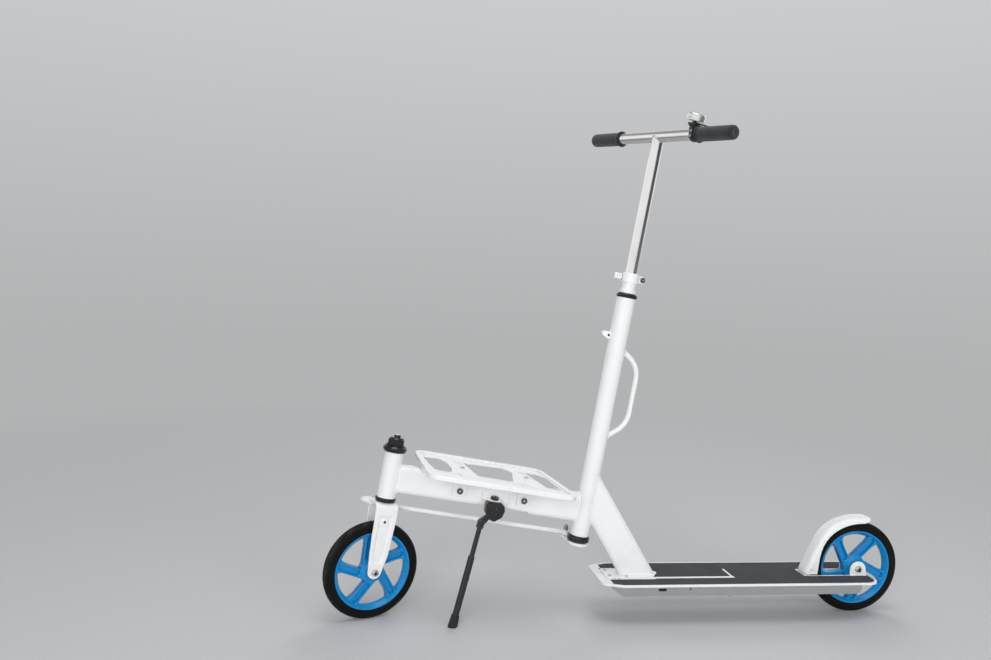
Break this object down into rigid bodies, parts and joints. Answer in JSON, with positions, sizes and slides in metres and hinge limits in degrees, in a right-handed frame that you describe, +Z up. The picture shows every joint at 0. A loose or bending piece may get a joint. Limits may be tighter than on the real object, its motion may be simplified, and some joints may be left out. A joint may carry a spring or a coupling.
{
  "type": "kick scooter",
  "caption": "Two-wheeled kick scooter with a link-steered front wheel, a flat rack over the front beam, a telescoping T-bar, a foot-brake fender and a folding stand.",
  "frame": {"origin": "on the floor, midway between the axles in the frame's middle plane", "axes": "+X points to the rear wheel, +Y to the rider's right, +Z up"},
  "size_m": [1.2473, 0.4116, 1.0378],
  "materials": {
    "frame_paint": "gloss white powder coat",
    "fender_plastic": "gloss white moulding",
    "wheel_blue": "glossy azure blue casting",
    "tyre_rubber": "satin black cast tyre",
    "polished_bar": "polished, bright",
    "grip_foam": "soft matt grip",
    "black_plastic": "gloss black moulding",
    "stand_black": "satin black coat",
    "stand_rubber": "matt black rubber",
    "deck_grip": "gritty dark grey tape",
    "deck_aluminium": "satin anodised",
    "zinc_steel": "bright zinc plate"
  },
  "bodies": {
    "frame": {"head_tube": "frame_paint", "main_beam": "frame_paint", "column_tube": "frame_paint", "down_tube": "frame_paint", "carry_handle": "frame_paint", "bag_hook": "frame_paint", "deck_top_plate": "frame_paint", "deck_skirt": "deck_aluminium", "deck_mount_plate": "frame_paint", "deck_screws": "zinc_steel", "grip_tape": "deck_grip", "rear_lugs": "frame_paint", "rear_axle": "zinc_steel", "rear_spacers": "zinc_steel", "fender_pin": "zinc_steel", "head_cups": "black_plastic", "column_cups": "black_plastic", "rack_plate": "frame_paint", "rack_brackets": "frame_paint", "rack_bolts": "zinc_steel", "stand_bracket": "frame_paint", "stand_housing": "stand_black", "stand_pin": "zinc_steel"},
    "fork": {"fork_blades": "frame_paint", "fork_steerer": "zinc_steel", "fork_top_nut": "black_plastic", "front_axle": "zinc_steel", "front_spacers": "zinc_steel", "front_link_pin": "zinc_steel"},
    "front_wheel": {"front_tyre": "tyre_rubber", "front_rim": "wheel_blue", "front_bearings": "zinc_steel"},
    "rear_wheel": {"rear_tyre": "tyre_rubber", "rear_rim": "wheel_blue", "rear_bearings": "zinc_steel"},
    "steering_column": {"steer_tube": "frame_paint", "lower_arm": "frame_paint", "rear_link_pin": "zinc_steel", "steer_collar": "frame_paint", "clamp_band": "frame_paint", "clamp_bolt": "zinc_steel"},
    "clamp_lever_body": {"clamp_lever": "frame_paint"},
    "handlebar": {"stem_tube": "polished_bar", "handlebar_tube": "polished_bar", "grips": "grip_foam", "bell_base": "black_plastic", "bell_dome": "polished_bar"},
    "bell_thumb": {"bell_lever": "black_plastic"},
    "link": {"link_rod": "frame_paint"},
    "stand": {"stand_leg": "stand_black"},
    "stand_lower": {"stand_tube": "stand_black", "stand_foot": "stand_rubber"},
    "stand_latch": {"stand_button": "stand_black"},
    "brake": {"fender_brake": "fender_plastic", "fender_sides": "fender_plastic"}
  },
  "joints": [
    {"name": "steer", "type": "hinge", "parent": "frame", "child": "steering_column", "pos_m": [-0.06509, 0, 0.39678], "axis": [0.1461, 0, 0.9893], "range_deg": [-50, 8]},
    {"name": "fork_steer", "type": "hinge", "parent": "frame", "child": "fork", "pos_m": [-0.49414, 0, 0.29785], "axis": [0.1461, 0, 0.9893], "range_deg": [-50, 8]},
    {"name": "link_pivot", "type": "hinge", "parent": "steering_column", "child": "link", "pos_m": [-0.11837, 0.03778, 0.16457], "axis": [0.1461, 0, 0.9893], "range_deg": [-8, 50]},
    {"name": "front_wheel_spin", "type": "hinge", "parent": "fork", "child": "front_wheel", "pos_m": [-0.526, -0.001, 0.1], "axis": [-0.3545, 0.9336, 0.0524], "continuous": true},
    {"name": "rear_wheel_spin", "type": "hinge", "parent": "frame", "child": "rear_wheel", "pos_m": [0.526, 0, 0.1], "axis": [0, 1, 0], "continuous": true},
    {"name": "bar_height", "type": "slide", "parent": "steering_column", "child": "handlebar", "axis": [0.1461, 0, 0.9893], "range_m": [-0.15, 0.06]},
    {"name": "clamp_cam", "type": "hinge", "parent": "steering_column", "child": "clamp_lever_body", "pos_m": [-0.0019, 0.02436, 0.70536], "axis": [-0.1461, 0, -0.9893], "range_deg": [0, 110]},
    {"name": "bell_strike", "type": "hinge", "parent": "handlebar", "child": "bell_thumb", "pos_m": [0.06282, -0.09419, 1.01546], "axis": [0.2166, -0.1941, 0.9568], "range_deg": [0, 24], "stiffness_Nm_per_rad": 0.02, "springref_deg": -28.65},
    {"name": "stand_fold", "type": "hinge", "parent": "frame", "child": "stand", "pos_m": [-0.2847, -0.0295, 0.22801], "axis": [0, -1, 0], "range_deg": [0, 100]},
    {"name": "stand_length", "type": "slide", "parent": "stand", "child": "stand_lower", "axis": [-0.2441, -0.1197, -0.9623], "range_m": [-0.03, 0.02]},
    {"name": "stand_latch_push", "type": "slide", "parent": "stand_lower", "child": "stand_latch", "axis": [-0.864, -0.4237, 0.2719], "range_m": [0, 0.001], "stiffness_N_per_m": 4, "springref_m": -0.004},
    {"name": "brake_press", "type": "hinge", "parent": "frame", "child": "brake", "pos_m": [0.4184, 0, 0.098], "axis": [0, 1, 0], "range_deg": [0, 3.2], "stiffness_Nm_per_rad": 6, "springref_deg": -5.73}
  ],
  "couplings": [
    {"joint": "fork_steer", "follows": "steer", "ratio": 1},
    {"joint": "link_pivot", "follows": "steer", "ratio": -1}
  ]
}
